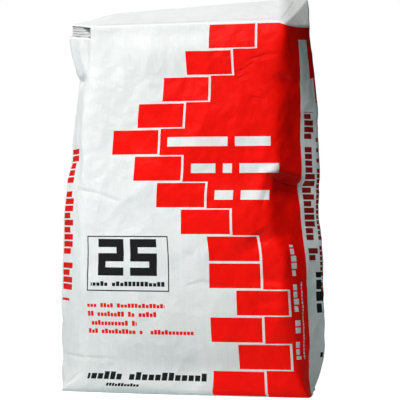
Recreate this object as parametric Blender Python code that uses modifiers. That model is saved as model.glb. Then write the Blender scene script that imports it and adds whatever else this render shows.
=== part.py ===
"""A filled 25 kg cement bag: a pasted paper valve sack with block ends, standing on its bottom end.

Units are metres, +Z is up, the printed front faces -Y, and the origin is at the middle of the base.
"""
import math

import bmesh
import bpy
import numpy as np

# Driving sizes of the filled sack
FRONT_HEIGHT = 0.4750          # floor to the fold at the top of the front
BASE_HEIGHT = 0.0008           # underside of the sack, which stands on its glued cover patch
PAPER = 0.0005                 # two plies of sack paper together
GAP = 0.0003                   # clearance between neighbouring pieces

# The top end panel leans towards the front: how much higher its back edge is
TOP_DEPTH = 0.100              # front fold to back fold of the top end panel
TOP_RISE = 0.0355              # back edge above the front edge, at the middle
TOP_TWIST = 0.050              # growth of that rise for each metre to the right
TOP_CORNER_LEFT = 0.120        # middle of the panel to the fold of its left tip
TOP_CORNER_RIGHT = 0.138
TOP_TIP_DROP_LEFT = 0.004      # how far the pointed tips at both ends are folded down
TOP_TIP_DROP_RIGHT = 0.025
TOP_BACK_LEAN = 0.0095         # how far the right end's back corner stands out past its front one
TILT_STARTS = 0.34             # height below which the rings of the wall are level

# Valve: a flat paper tube glued under the top end panel, with its mouth in the left end
VALVE_SLOT = 0.0150            # height of the mouth in the left end
VALVE_HALF_WIDTH = 0.040
VALVE_SET_BACK = 0.0025        # from the sack's outer skin to the edge of the mouth
VALVE_INNER_X = -0.015
VALVE_THICKNESS = 0.0082       # over the whole flat tube
VALVE_WALL = 0.0028            # the folded plies of each side of the tube
VALVE_BELOW_PANEL = PAPER + GAP + VALVE_THICKNESS / 2

# Cover patches glued on both block ends
PATCH_THICKNESS = 0.0005
TOP_PATCH_LEFT = -0.114
TOP_PATCH_RIGHT = 0.130
TOP_PATCH_HALF_DEPTH = 0.041
BASE_PATCH_HALF_LENGTH = 0.148
BASE_PATCH_HALF_DEPTH = 0.041
BASE_PATCH_CORNER = 0.010

# Cement inside
FILL_INSET = 0.0013            # from the sack's outer skin to the cement
FILL_CORNER_INSET = 0.0020     # a further step back from the sharp corners of the sack
FILL_BELOW_PANEL = 0.0102      # empty space left under the top end panel for the valve

# How finely the skin is divided
QUARTER_STEPS = 12             # steps from the ridge of a side to the middle of the front
CORNER_CROWDING = 3.0          # how much closer the steps are at a rounded corner
PANEL_ROWS = 4                 # rows of faces from the back to the front of an end panel
CORNER_ROUNDING = 0.016        # width over which the corners of a section are rounded
OUTLINE_SAMPLES = 400          # points along each straight run before a corner is rounded
SHARP_FOLD = math.radians(35)  # folds sharper than this stay crisp in shading
PATCH_COLUMNS = 12
PATCH_ROWS = 4
PATCH_CORNER_STEPS = 3
VALVE_LENGTH_STEPS = 8
VALVE_EDGE_STEPS = 4           # steps round each folded edge of the flat tube

# The filled shape at its heights. A section is a hexagon with a bulging front and back:
# height, then on the left the reach of the side's ridge and of the front corner, then the
# same on the right, then the half depth at the corners and at the middle of the front
STAGES = (
    (BASE_HEIGHT, 0.1700, 0.1575, 0.1660, 0.1690, 0.0465, 0.0470),
    (0.006, 0.1765, 0.1530, 0.1680, 0.1625, 0.0490, 0.0510),
    (0.015, 0.1785, 0.1410, 0.1702, 0.1550, 0.0525, 0.0560),
    (0.028, 0.1790, 0.1290, 0.1730, 0.1500, 0.0545, 0.0600),
    (0.055, 0.1790, 0.1270, 0.1800, 0.1460, 0.0560, 0.0645),
    (0.086, 0.1790, 0.1280, 0.1800, 0.1420, 0.0570, 0.0660),
    (0.119, 0.1790, 0.1290, 0.1788, 0.1390, 0.0575, 0.0670),
    (0.150, 0.1776, 0.1300, 0.1775, 0.1380, 0.0573, 0.0668),
    (0.184, 0.1760, 0.1300, 0.1762, 0.1370, 0.0570, 0.0665),
    (0.217, 0.1748, 0.1300, 0.1749, 0.1365, 0.0565, 0.0658),
    (0.250, 0.1732, 0.1300, 0.1734, 0.1360, 0.0560, 0.0650),
    (0.302, 0.1660, 0.1300, 0.1718, 0.1360, 0.0550, 0.0630),
    (0.348, 0.1607, 0.1290, 0.1700, 0.1360, 0.0540, 0.0610),
    (0.381, 0.1565, 0.1270, 0.1676, 0.1360, 0.0530, 0.0585),
    (0.403, 0.1538, 0.1250, 0.1648, 0.1360, 0.0525, 0.0570),
    (0.422, 0.1605, 0.1230, 0.1629, 0.1365, 0.0520, 0.0555),
    (0.444, 0.1650, 0.1220, 0.1594, 0.1370, 0.0515, 0.0540),
    (FRONT_HEIGHT - VALVE_SLOT, 0.1672, 0.1208, 0.1570, 0.1378, 0.0506, 0.0520),
    (FRONT_HEIGHT, 0.1640, TOP_CORNER_LEFT, 0.1545, TOP_CORNER_RIGHT, 0.0500, 0.0500),
)
HEIGHTS = [stage[0] for stage in STAGES]
TOP_REACH_LEFT, TOP_REACH_RIGHT = STAGES[-1][1], STAGES[-1][3]


def ramp(value, start, end):
    """0 below start, 1 above end, and a straight line between them."""
    return min(max((value - start) / (end - start), 0.0), 1.0)


def smooth_ramp(value, start, end):
    """The same with both ends eased."""
    share = ramp(value, start, end)
    return share * share * (3.0 - 2.0 * share)


def depth_share(y):
    """0 at the front fold of the top end panel and 1 at its back fold."""
    return min(max(y / TOP_DEPTH + 0.5, -0.1), 1.1)


def lean_out(x, y):
    """How far the level section's point at x, y is moved to the right at the top."""
    return TOP_BACK_LEAN * depth_share(y) * ramp(x, 0.0, TOP_CORNER_RIGHT)


def rise(x, y):
    """How far the top end panel stands above the front fold, at a point of the level section."""
    height = depth_share(y) * (TOP_RISE + TOP_TWIST * x)
    height -= TOP_TIP_DROP_LEFT * ramp(-x, TOP_CORNER_LEFT, TOP_REACH_LEFT)
    height -= TOP_TIP_DROP_RIGHT * ramp(x, TOP_CORNER_RIGHT, TOP_REACH_RIGHT)
    return height


def panel_rise(x, y):
    """The same at a point of the finished panel, which leans out to the right."""
    lean = TOP_BACK_LEAN * depth_share(y)
    return rise(x - lean * ramp(x, 0.0, TOP_CORNER_RIGHT + lean), y)


def stage_at(height):
    """The sizes of the section at a height."""
    columns = zip(*STAGES)
    return [float(np.interp(height, HEIGHTS, column)) for column in columns][1:]


def rounded(values, mirrored_sign, pad, kernel):
    """A run of coordinates with its corners rounded; both ends continue as in a mirror."""
    start_sign, end_sign = mirrored_sign
    before = start_sign * values[pad:0:-1]
    after = end_sign * values[-2:-pad - 2:-1]
    return np.convolve(np.concatenate((before, values, after)), kernel, mode="valid")


def quarter_outline(reach, corner, corner_depth, crown):
    """Points of a quarter section: from the side's ridge over the front corner to the middle."""
    side_share = np.linspace(0.0, 1.0, OUTLINE_SAMPLES)
    side_x = reach + (corner - reach) * side_share
    side_y = corner_depth * side_share
    front_x = np.linspace(corner, 0.0, OUTLINE_SAMPLES)[1:]
    front_y = crown - (crown - corner_depth) * (front_x / corner) ** 2
    x = np.concatenate((side_x, front_x))
    y = np.concatenate((side_y, front_y))
    travelled = np.concatenate(([0.0], np.cumsum(np.hypot(np.diff(x), np.diff(y)))))
    even = np.linspace(0.0, travelled[-1], OUTLINE_SAMPLES)
    corner_at = travelled[OUTLINE_SAMPLES - 1]
    x, y = np.interp(even, travelled, x), np.interp(even, travelled, y)
    width = max(int(CORNER_ROUNDING / even[1]) // 2 * 2 + 1, 3)
    kernel = np.convolve(np.ones(width), np.ones(width)) / width ** 2
    pad = len(kernel) // 2
    x, y = rounded(x, (1, -1), pad, kernel), rounded(y, (-1, 1), pad, kernel)
    x = x * reach / x[0]
    near_corner = np.exp(-((even - corner_at) / CORNER_ROUNDING) ** 2)
    near_ridge = np.exp(-(even / CORNER_ROUNDING) ** 2)
    density = 1.0 + CORNER_CROWDING * (near_corner + near_ridge)
    crowded = np.concatenate(([0.0], np.cumsum(density[1:])))
    wanted = np.linspace(0.0, crowded[-1], QUARTER_STEPS + 1)
    return np.interp(wanted, crowded, x), np.interp(wanted, crowded, y)


def section_points(sizes, inset, corner_inset):
    """A closed section drawn in by inset, anticlockwise from the middle of the right side."""
    left, left_corner, right, right_corner, corner_depth, crown = [size - inset for size in sizes]
    left_corner -= corner_inset
    right_corner -= corner_inset
    right_x, right_y = quarter_outline(right, right_corner, corner_depth, crown)
    left_x, left_y = quarter_outline(left, left_corner, corner_depth, crown)
    points = [(x, y) for x, y in zip(right_x[:-1], right_y[:-1])]
    points += [(-x, y) for x, y in zip(left_x[:0:-1], left_y[:0:-1])]
    points += [(-x, -y) for x, y in zip(left_x[:-1], left_y[:-1])]
    points += [(x, -y) for x, y in zip(right_x[:0:-1], right_y[:0:-1])]
    return points


def wall_rings(inset, corner_inset, below_panel):
    """Rings of the filled shape from the base up, drawn in by inset, with a lowered top."""
    base_at = BASE_HEIGHT + inset
    top_at = FRONT_HEIGHT - below_panel
    between = [height for height in HEIGHTS if base_at < height < top_at]
    rings = []
    for height in [base_at] + between + [top_at]:
        tilt = smooth_ramp(height, TILT_STARTS, FRONT_HEIGHT - VALVE_SLOT)
        ring = []
        for x, y in section_points(stage_at(height), inset, corner_inset):
            ring.append((x + tilt * lean_out(x, y), y, height + tilt * rise(x, y)))
        rings.append(ring)
    return rings


def add_end_panel(shape, edge, tilted):
    """Faces across a ring, in strips from its back to its front, with a point at each tip."""
    count = len(edge)
    half = count // 2
    right_tip, left_tip = edge[0], edge[half]
    strips = []
    for index in range(1, half):
        back, front = edge[index], edge[count - index]
        strip = [back]
        for step in range(1, PANEL_ROWS):
            point = back.co.lerp(front.co, step / PANEL_ROWS)
            if tilted:
                point.z = back.co.z - panel_rise(*back.co.xy) + panel_rise(*point.xy)
            strip.append(shape.verts.new(point))
        strips.append(strip + [front])
    for right, left in zip(strips, strips[1:]):
        for row in range(PANEL_ROWS):
            shape.faces.new((right[row], left[row], left[row + 1], right[row + 1]))
    for row in range(PANEL_ROWS):
        shape.faces.new((right_tip, strips[0][row], strips[0][row + 1]))
        shape.faces.new((strips[-1][row], left_tip, strips[-1][row + 1]))


def lofted_shape(inset, corner_inset, below_panel):
    """The closed skin of the filled shape: base panel, wall and top end panel."""
    shape = bmesh.new()
    rings = []
    for ring in wall_rings(inset, corner_inset, below_panel):
        rings.append([shape.verts.new(point) for point in ring])
    count = len(rings[0])
    for lower, upper in zip(rings, rings[1:]):
        for index in range(count):
            following = (index + 1) % count
            shape.faces.new((lower[index], lower[following], upper[following], upper[index]))
    add_end_panel(shape, rings[0], tilted=False)
    add_end_panel(shape, rings[-1], tilted=True)
    bmesh.ops.recalc_face_normals(shape, faces=shape.faces)
    return shape


def finished_mesh(name, shape):
    """The shape as a mesh that is smooth between its folds."""
    mesh = bpy.data.meshes.new(name)
    shape.to_mesh(mesh)
    shape.free()
    mesh.shade_smooth()
    mesh.set_sharp_from_angle(angle=SHARP_FOLD)
    return mesh


def paper_material(name, colour, roughness):
    """A matt material of one colour."""
    material = bpy.data.materials.new(name)
    material.use_nodes = True
    shader = material.node_tree.nodes["Principled BSDF"]
    shader.inputs["Base Color"].default_value = (*colour, 1.0)
    shader.inputs["Roughness"].default_value = roughness
    shader.inputs["Metallic"].default_value = 0.0
    material.diffuse_color = (*colour, 1.0)
    return material


def place(name, mesh, material, collection):
    """An object for one piece of the bag."""
    piece = bpy.data.objects.new(name, mesh)
    mesh.materials.append(material)
    collection.objects.link(piece)
    return piece


def thicken(piece, thickness, offset):
    """Give an open surface its thickness."""
    solidify = piece.modifiers.new("Paper thickness", "SOLIDIFY")
    solidify.thickness = thickness
    solidify.offset = offset
    solidify.use_rim = True


def make_paper_sack(material, collection):
    """The sack's skin, open only at the valve's mouth, which runs round the left tip."""
    shape = lofted_shape(0.0, 0.0, 0.0)
    mouth = []
    for face in shape.faces:
        centre = face.calc_center_median()
        below_panel = FRONT_HEIGHT + panel_rise(*centre.xy) - centre.z
        level_with_slot = abs(below_panel - VALVE_SLOT / 2) < VALVE_SLOT / 4
        if level_with_slot and centre.x < -TOP_CORNER_LEFT:
            mouth.append(face)
    bmesh.ops.delete(shape, geom=mouth, context="FACES")
    piece = place("paper_sack", finished_mesh("paper_sack", shape), material, collection)
    thicken(piece, PAPER, -1.0)
    return piece


def make_cement_fill(material, collection):
    """The packed cement, a solid that fills the sack up to the valve."""
    shape = lofted_shape(FILL_INSET, FILL_CORNER_INSET, FILL_BELOW_PANEL)
    return place("cement_fill", finished_mesh("cement_fill", shape), material, collection)


def flat_tube_loop():
    """The y and z of a flattened tube's section, round about its own middle."""
    half_height = VALVE_THICKNESS / 2
    half_flat = VALVE_HALF_WIDTH - half_height
    loop = []
    for side in (1, -1):
        for step in range(VALVE_EDGE_STEPS + 1):
            angle = math.pi * (step / VALVE_EDGE_STEPS - 0.5)
            y = side * (half_flat + half_height * math.cos(angle))
            loop.append((y, side * half_height * math.sin(angle)))
    return loop


def make_valve_sleeve(material, collection):
    """A flattened paper tube under the top end panel, open at both ends."""
    loop = flat_tube_loop()
    tip_slope = (TOP_REACH_LEFT - TOP_CORNER_LEFT) / (TOP_DEPTH / 2)
    shape = bmesh.new()
    rings = []
    for step in range(VALVE_LENGTH_STEPS + 1):
        ring = []
        for y, z in loop:
            mouth = VALVE_SET_BACK - TOP_REACH_LEFT + tip_slope * abs(y)
            x = mouth + (VALVE_INNER_X - mouth) * step / VALVE_LENGTH_STEPS
            height = FRONT_HEIGHT - VALVE_BELOW_PANEL + panel_rise(x, y) + z
            ring.append(shape.verts.new((x, y, height)))
        rings.append(ring)
    for outer, inner in zip(rings, rings[1:]):
        for index in range(len(loop)):
            following = (index + 1) % len(loop)
            shape.faces.new((outer[index], outer[following], inner[following], inner[index]))
    bmesh.ops.recalc_face_normals(shape, faces=shape.faces)
    piece = place("valve_sleeve", finished_mesh("valve_sleeve", shape), material, collection)
    thicken(piece, VALVE_WALL, -1.0)
    return piece


def make_top_end_patch(material, collection):
    """A cover patch that lies on the leaning top end panel."""
    shape = bmesh.new()
    bmesh.ops.create_grid(shape, x_segments=PATCH_COLUMNS, y_segments=PATCH_ROWS, size=0.5)
    middle = (TOP_PATCH_LEFT + TOP_PATCH_RIGHT) / 2
    length = TOP_PATCH_RIGHT - TOP_PATCH_LEFT
    for vert in shape.verts:
        x = middle + vert.co.x * length
        y = vert.co.y * 2 * TOP_PATCH_HALF_DEPTH
        vert.co = (x, y, FRONT_HEIGHT + GAP + panel_rise(x, y))
    piece = place("top_end_patch", finished_mesh("top_end_patch", shape), material, collection)
    thicken(piece, PATCH_THICKNESS, 1.0)
    return piece


def make_bottom_end_patch(material, collection):
    """A flat cover patch under the base panel, which the whole bag stands on."""
    bpy.ops.mesh.primitive_cube_add(size=1.0, location=(0, 0, 0))
    piece = bpy.context.object
    piece.name = "bottom_end_patch"
    piece.data.name = "bottom_end_patch"
    size = (2 * BASE_PATCH_HALF_LENGTH, 2 * BASE_PATCH_HALF_DEPTH, PATCH_THICKNESS)
    for vert in piece.data.vertices:
        vert.co = [share * width for share, width in zip(vert.co, size)]
        vert.co.z += PATCH_THICKNESS / 2
    shape = bmesh.new()
    shape.from_mesh(piece.data)
    corners = []
    for edge in shape.edges:
        start, end = edge.verts
        if abs(start.co.z - end.co.z) > GAP:
            corners.append(edge)
    bmesh.ops.bevel(
        shape,
        geom=corners,
        offset=BASE_PATCH_CORNER,
        segments=PATCH_CORNER_STEPS,
        profile=0.5,
        affect="EDGES",
    )
    shape.to_mesh(piece.data)
    shape.free()
    for owner in list(piece.users_collection):
        owner.objects.unlink(piece)
    collection.objects.link(piece)
    piece.data.materials.append(material)
    return piece


def main():
    for leftover in list(bpy.data.objects):
        bpy.data.objects.remove(leftover, do_unlink=True)
    collection = bpy.data.collections.new("cement_bag")
    bpy.context.scene.collection.children.link(collection)
    sack_paper = paper_material("sack_paper", (0.80, 0.83, 0.84), 0.62)
    patch_paper = paper_material("patch_paper", (0.76, 0.79, 0.80), 0.66)
    valve_paper = paper_material("valve_paper", (0.30, 0.30, 0.31), 0.75)
    cement = paper_material("cement", (0.34, 0.33, 0.31), 0.95)
    make_paper_sack(sack_paper, collection)
    make_cement_fill(cement, collection)
    make_valve_sleeve(valve_paper, collection)
    make_top_end_patch(patch_paper, collection)
    make_bottom_end_patch(patch_paper, collection)


main()
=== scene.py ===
"""Finished looks of a filled paper cement bag, laid out as an add-on and run as a script.

Units are metres, except in the tables that say millimetres. +Z is up and the printed front
faces -Y, as in the solid model. The skin of the sack has its own paper coordinates: u runs round
the tube from the middle of the front, and v runs up from the base.
"""
import math

import bpy
import numpy as np
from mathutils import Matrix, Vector


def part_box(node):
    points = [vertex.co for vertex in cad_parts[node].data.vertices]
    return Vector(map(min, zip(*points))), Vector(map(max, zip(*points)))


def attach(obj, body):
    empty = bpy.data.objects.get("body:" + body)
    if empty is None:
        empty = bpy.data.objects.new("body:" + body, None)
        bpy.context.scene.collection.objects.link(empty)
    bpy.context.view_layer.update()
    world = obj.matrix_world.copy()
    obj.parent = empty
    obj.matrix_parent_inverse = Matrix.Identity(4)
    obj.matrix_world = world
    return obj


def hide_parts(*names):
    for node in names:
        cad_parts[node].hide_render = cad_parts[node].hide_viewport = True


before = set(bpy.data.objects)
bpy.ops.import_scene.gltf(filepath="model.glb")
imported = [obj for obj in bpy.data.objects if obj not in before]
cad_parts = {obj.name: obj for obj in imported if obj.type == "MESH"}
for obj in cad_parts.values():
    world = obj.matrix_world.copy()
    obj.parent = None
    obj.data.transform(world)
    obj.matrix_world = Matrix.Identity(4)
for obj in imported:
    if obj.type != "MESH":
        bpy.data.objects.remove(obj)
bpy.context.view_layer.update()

bl_info = {
    "name": "Cement Bag",
    "version": (1, 0, 0),
    "blender": (4, 5, 0),
    "location": "3D View > Sidebar > Cement Bag",
    "description": "Dresses the solid model of a filled paper cement bag",
    "category": "Object",
}

# Sizes of the filled sack, as in the solid model
BODY = "root"
BASE_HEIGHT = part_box("paper_sack")[0].z
TUBE_WIDTH = 0.410             # flat width of the paper tube, ridge to ridge
TOP_DEPTH = 0.100
TOP_RISE = 0.0355
TOP_TWIST = 0.050
TOP_TIP_DROP_LEFT = 0.004
TOP_TIP_DROP_RIGHT = 0.0145
TOP_BACK_LEAN = 0.0095
# The top end sinks beyond a slanting fold on its right: where the slope starts and ends beside
# the front edge, how far it moves to the left per depth, and how deep it lies at the front
TOP_FOLD = (0.130, 0.175)
TOP_FOLD_SLANT = 0.27
TOP_FOLD_DEPTH = 0.0170
TOP_FOLD_FADE = 0.86           # share of that depth that is gone at the back
TILT_STARTS = 0.34
VALVE_SLOT = 0.0150
BASE_TUCK = 0.0105             # how far the back right corner of the base is tucked in

# The filled shape at its heights, in millimetres, as in the solid model, with a few more rows
# at the notch below the valve: height, reach of the left ridge and corner, the same on the
# right, and half depth at the corners and at the middle of the front
STAGES = np.array((
    (0, 170, 162, 166.5, 169.5, 49.5, 55.5),
    (6, 176.5, 157.5, 169.7, 165, 52.5, 59.7),
    (15, 178.5, 145, 173, 161, 53.8, 60.2),
    (22, 178.9, 137, 174.4, 158.5, 54.2, 59.9),
    (31, 179, 130.5, 176, 156, 54.7, 60.2),
    (50, 179, 127.5, 179.2, 152.2, 55.5, 62.7),
    (70, 179, 127.5, 180.3, 148.5, 56.3, 65.1),
    (92, 179, 128, 180.2, 144.7, 57, 66.4),
    (119, 179, 129, 179.2, 141, 57.5, 67.2),
    (150, 177.8, 130, 178, 138.5, 57.3, 66.8),
    (178, 176.5, 130, 176.9, 136, 57, 66.5),
    (192, 175.9, 130, 176.3, 130, 56.8, 66.2),
    (208, 175.3, 130, 175.6, 122, 56.6, 66),
    (228, 174.4, 130, 174.7, 120.5, 56.3, 65.5),
    (250, 173.2, 130, 173.8, 121.5, 56, 65),
    (268, 171.5, 130, 173.3, 125.5, 55.7, 64.5),
    (280, 169.8, 130, 173, 129, 55.5, 64),
    (302, 166, 130, 172, 129, 55, 63),
    (348, 160.7, 129, 170.3, 129.5, 54, 61),
    (381, 156.2, 127, 168, 132.5, 53, 58.8),
    (397, 154.5, 125.5, 165.7, 134, 52.7, 57.5),
    (403, 153, 125, 164.8, 134.2, 52.5, 57),
    (408, 156.2, 124.5, 164.3, 134.4, 52.4, 56.7),
    (422, 160.7, 123, 163, 135, 52, 56.4),
    (444, 165, 122, 159.6, 136.2, 51.5, 55),
    (460, 167.2, 120.8, 157.2, 137.6, 50.6, 52),
    (475, 164, 120, 154.5, 138, 50, 50),
)) / 1000
FRONT_HEIGHT = STAGES[-1, 0]
TOP_REACH_LEFT, TOP_CORNER_LEFT, TOP_REACH_RIGHT, TOP_CORNER_RIGHT = STAGES[-1, 1:5]

# Samples of a section while its corners are rounded: a side, the front, and the whole outline
SIDE_SAMPLES = 150
FRONT_SAMPLES = 500
OUTLINE_SAMPLES = 900
# Heights round which the corners of the section are rounder: the middle and the spread
PLUMP_HEIGHTS = ((0.065, 0.045), (0.395, 0.055))
END_ROUNDING = 0.4             # share of a corner's rounding that is left at an end fold
END_REACH = 0.06               # from an end fold to where the corners have all of it
RIDGE_REACH = 0.014            # how far the ridge's own, crisper rounding spreads
# Where the base is tucked in: from and to which x, y and height
BASE_TUCK_X = (0.125, 0.160)
BASE_TUCK_Y = (-0.030, 0.030)
BASE_TUCK_Z = (0.0, 0.045)
# The valve's mouth: from which depth under the top end, and how far it stays behind the corner
MOUTH_TOP = 0.0022
MOUTH_SET_BACK = 0.002
PLY_NARROWING = 0.4            # how far the rows of a ply are drawn to its inner end
FILL_ABOVE_BASE = 0.0012
FILL_BASE_EDGE = 0.0015        # how far the edge of the powder's underside is drawn in
SHARP_ANGLE = math.radians(50)
PANEL_CROWDING = 0.8           # how much closer the rows of an end panel lie at its folds

# Creases that show on the bag, in millimetres: start and end on the paper, depth, width of the
# flank above and below the line, and last the share of its length where it is deepest
CREASES = (
    ((114, 281), (204, 262), 9.5, 6, 29, 0.45),
    ((64, 172), (150, 216), 3.6, 13, 28, 0.60),
    ((120, 406), (178, 395), 4.2, 9, 24, 0.55),
    ((80, 150), (150, 146), 2.6, 9, 12, 0.60),
    ((88, 118), (150, 124), 1.8, 8, 10, 0.50),
    ((-201.8, 400), (-122, 418), 2.6, 4, 16, 0.20),
    ((-178, 352), (-150, 340), 1.4, 6, 8, 0.50),
    ((-185, 2), (-130, 30), 3, 5, 12, 0.45),
    ((-60, 386), (-30, 340), 1.2, 6, 6, 0.50),
    ((-10, 440), (12, 396), 1.2, 6, 6, 0.50),
    ((-100, 330), (-50, 352), 1, 5, 8, 0.50),
)
# Finer ones that only the shading of the paper shows: start, end, depth and both flanks
FINE_CREASES = (
    ((76, 412), (92, 416), 0.9, 2.4, 7),
    ((90, 416), (106, 425), 1, 2.4, 7),
    ((95, 427), (122, 434), 1, 2.6, 7),
    ((116, 434), (142, 433), 0.7, 2.4, 7),
    ((76, 402), (98, 411), 0.6, 2.4, 6),
    ((-152, 264), (-126, 260), 1.2, 4.6, 8),
    ((-134, 261), (-104, 257), 1, 4.6, 8),
    ((-110, 258), (-78, 246), 0.9, 4.6, 8),
    ((8, 139), (34, 146), 0.8, 3.6, 8),
    ((28, 146), (72, 138), 1, 3.6, 8),
    ((92, 380), (120, 376), 0.7, 2.6, 8),
    ((-204, 46), (-86, 45), 0.9, 3.6, 5),
    ((-176, 6), (-128, 30), 1.4, 3, 10),
    ((108, 282), (140, 286.5), -2.8, 8.5, 5),
    ((118, 278), (178, 266), 4.5, 10, 11),
    ((90, 190), (125, 215), 2.4, 6, 14),
    ((122, 270), (113, 235), 1.2, 6, 6),
)
# Painted shade in the pinch at the right corner, where the fold lies in shadow: where, and how
# far it spreads
PINCH_SHADE_FOLD = ((120, 278.5), (184, 265.5), -1.0, 16.5, 4.5)
# Dents, in millimetres: the middle, how far they reach left and right, up and down, the depth
HOLLOWS = (
    ((146, 260), (21, 36), (12, 32), 7),
    ((168, 330), (22, 22), (45, 45), 2),
    ((12, 230), (40, 40), (60, 60), 1.2),
    ((-60, 300), (60, 60), (35, 35), 1),
    ((90, 345), (55, 50), (22, 22), 1.8),
    ((90, 288), (60, 45), (45, 36), 3.2),
    ((-30, 34), (120, 130), (24, 18), 2.2),
    ((-150, 440), (20, 20), (22, 22), 2),
    ((112, 155), (30, 30), (12, 14), 1.5),
)
# The same on the top end panel, by x and y
PANEL_HOLLOWS = (
    ((-20, 0), (80, 70), (30, 30), 1.2),
    ((70, -10), (30, 40), (30, 30), -1),
)
# Random relief: how many waves, and the shortest and the longest of them
LUMP_WAVES = (26, 0.07, 0.18)
COARSE_CRUMPLE = (30, 0.045, 0.09)
FINE_CRUMPLE = (34, 0.022, 0.045)
RANDOM_CREASES = 150
FADE_AT_ENDS = 0.014           # the relief of the wall fades over this height to both ends

# Layout of the print on one face of the sack, in millimetres of the paper
COURSE = 34
BRICK = 68
JOINT = 3
WIDEST_COURSE = 9.0
FIELD_LEFT = -95
FIELD_RIGHT = 174
PRINT_TOP = 472.5
NUMBER_BOX = (-124, -11.5, 132, 203)
NUMBER_LINE = 1.5
NUMBER_MIDDLE = (-68, 175.5)
NUMBER_PITCH = 22.5
NUMBER_HALF = (18, 23.5)
NUMBER_STROKE = 10.5
MOST_STEPS = 4.0               # half bricks that the field's left edge steps back at most
# Red steps that go on round the top right corner: from which height and side
CORNER_STEPS = ((458.5, FIELD_RIGHT), (12 * COURSE, 193), (11 * COURSE, 201))
CORNER_STEPS_END = 250
# Small blocks: the share left out, their width per pitch, the share of tall ones, and how much
# shorter the others are
BLOCKS_LEFT_OUT = 0.11
BLOCK_WIDTH = 0.80
TALL_BLOCKS = 0.45
SHORTER_BY = 0.27
# Rows and columns of them: start and end along the row, its two edges and the pitch; the red
# ones end with their share of black ink, and the white bars have no pitch
RED_ROWS = (
    (-125.5, -18, 111, 116.5, 4.8, 0.22),
    (-125.5, -29, 99.5, 106, 4.8, 0.22),
    (-125.5, -56, 88, 94.5, 4.8, 0.22),
    (-125.5, 18.5, 77.5, 83.5, 4.8, 0.22),
)
WHITE_BARS = (
    (-16.5, 66, 317, 329),
    (76, 124, 317, 329),
    (17.5, 50, 283, 295),
    (60, 72, 283, 295),
    (82, 136, 283, 295),
    (51.5, 76, 249, 261),
    (86, 124, 249, 261),
)
BLACK_ROWS = (
    (-118.5, -17.5, 138.5, 144.5, 5.5),
    (-124, 34, 18.5, 28.5, 8.5),
    (-96, -52, 10, 14, 4),
)
WHITE_COLUMNS = (
    (48, 192, 148.5, 157.5, 9),
    (48, 145, 162.5, 164.8, 4.5),
)
RED_COLUMNS = (
    (117, 317, -200, -164, 9.4, 0.24),
    (170, 362, 180, 196, 8.6, 0.72),
    (120, 330, 199.2, 205, 6.6, 0.72),
)
BLACK_COLUMNS = (
    (102, 157, 191, 204, 15),
    (42, 56, 197, 204, 8),
)
# The glued lap along the tube, on the back: its sides, the width of its edges, its thickness
SEAM = (0.535, 0.560)
SEAM_EDGE = 0.001
SEAM_THICKNESS = 0.0004

# Painted shade on the paper, each with its share or strength: in the pinch of the right corner,
# on the upper right side, and on the lowered tip of the top end; two places are where it starts
# and where it is full
PINCH_SHADE = 0.48
SIDE_SHADE = 0.26
SIDE_SHADE_LEFT = (0.172, 0.184)
SIDE_SHADE_RIGHT = (0.240, 0.210)
SIDE_SHADE_HEIGHT = (0.300, 0.390)
TIP_SHADE = 0.60
TIP_SHADE_PLACE = (0.133, 0.149)
# Dust that settled from this height downwards, partly painted shade that darkens the lower white
# paper, and the loose dust in blotches
SETTLED_DUST_AND_SHADE = 0.28
SETTLED_DUST_AND_SHADE_HEIGHT = 0.24
LOOSE_DUST = 0.05
# Painted light on the paper: its brightness low down, and the painted shade it takes between two
# heights
LOWER_PAINTED_LIGHT = 1.06
UPPER_PAINTED_SHADE = 0.07
PAINTED_SHADE_HEIGHTS = (0.27, 0.44)

# The studio
CAMERA_AIM = (0.01265, 0.00339, 0.2496)
SENSOR_WIDTH = 36              # millimetres
KEY_PLACE = (-0.64, -1.22, 1.81)
KEY_AIM = (0.0, 0.0, 0.36)
KEY_SIZE = 1.1
KEY_TINT = (1.0, 0.985, 0.97)
AMBIENT_TINT = (0.76, 1.0, 1.0, 1.0)
FLOOR_TINT = (0.67, 0.76, 0.765, 1.0)
FLOOR_REACH = 6.0
WHITE = (1.0, 1.0, 1.0, 1.0)
# The floor that the camera sees and the one that throws light back on the bag: name, height,
# glow and right edge
FLOORS = (("floor", 0.0, 0.95, FLOOR_REACH), ("floor_bounce", -0.001, 0.0, 0.8))


# Settings


def number(name, description, default, **kind):
    """A plain number, or one of a kind, such as an angle or a power."""
    return bpy.props.FloatProperty(name=name, description=description, default=default, **kind)


def metres(name, description, default):
    """A length in metres."""
    return number(name, description, default, unit="LENGTH")


def whole(name, description, default, least):
    """A whole number that is never below the least."""
    return bpy.props.IntProperty(
        name=name, description=description, default=default, min=least
    )


def colour(name, description, default):
    """A colour."""
    return bpy.props.FloatVectorProperty(
        name=name, description=description, default=default, size=3, subtype="COLOR"
    )


class SackSettings(bpy.types.PropertyGroup):
    """How the skin of the sack is divided, folded and creased."""

    columns: whole("Columns", "Faces round the front half of the tube", 128, 16)
    rings: whole("Rings", "Rows of faces up the wall between the end folds", 136, 16)
    panel_rows: whole("Panel rows", "Rows of faces across an end panel", 26, 4)
    paper: metres("Paper", "Thickness of both plies together", 0.0005)
    fold_radius: metres("Fold radius", "Roundness of the folds at both ends", 0.0017)
    corner_rounding: metres("Corner rounding", "Width over which a corner is rounded", 0.0115)
    plump_corners: number("Plump corners", "How much wider the plump ones are rounded", 1.2)
    ridge_rounding: metres("Ridge rounding", "Width over which a ridge is rounded", 0.0045)
    lump_depth: metres("Lumps", "Depth of the soft lumps that the powder makes", 0.0008)
    crumple_depth: metres("Crumple", "Depth of the fine crumples in the paper", 0.0006)
    seed: whole("Seed", "Chooses the random creases", 7, 0)


class FillSettings(bpy.types.PropertyGroup):
    """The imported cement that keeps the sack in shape."""

    columns: whole("Columns", "Faces round the front half", 96, 8)
    rings: whole("Rings", "Rings of points up the wall", 90, 8)
    panel_rows: whole("Panel rows", "Rows of faces across an end", 16, 4)
    inset: metres("Inset", "Clearance to the outside of the paper", 0.0034)
    below_panel: metres("Below the panel", "Depth of the powder under the top end", 0.0180)


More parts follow.
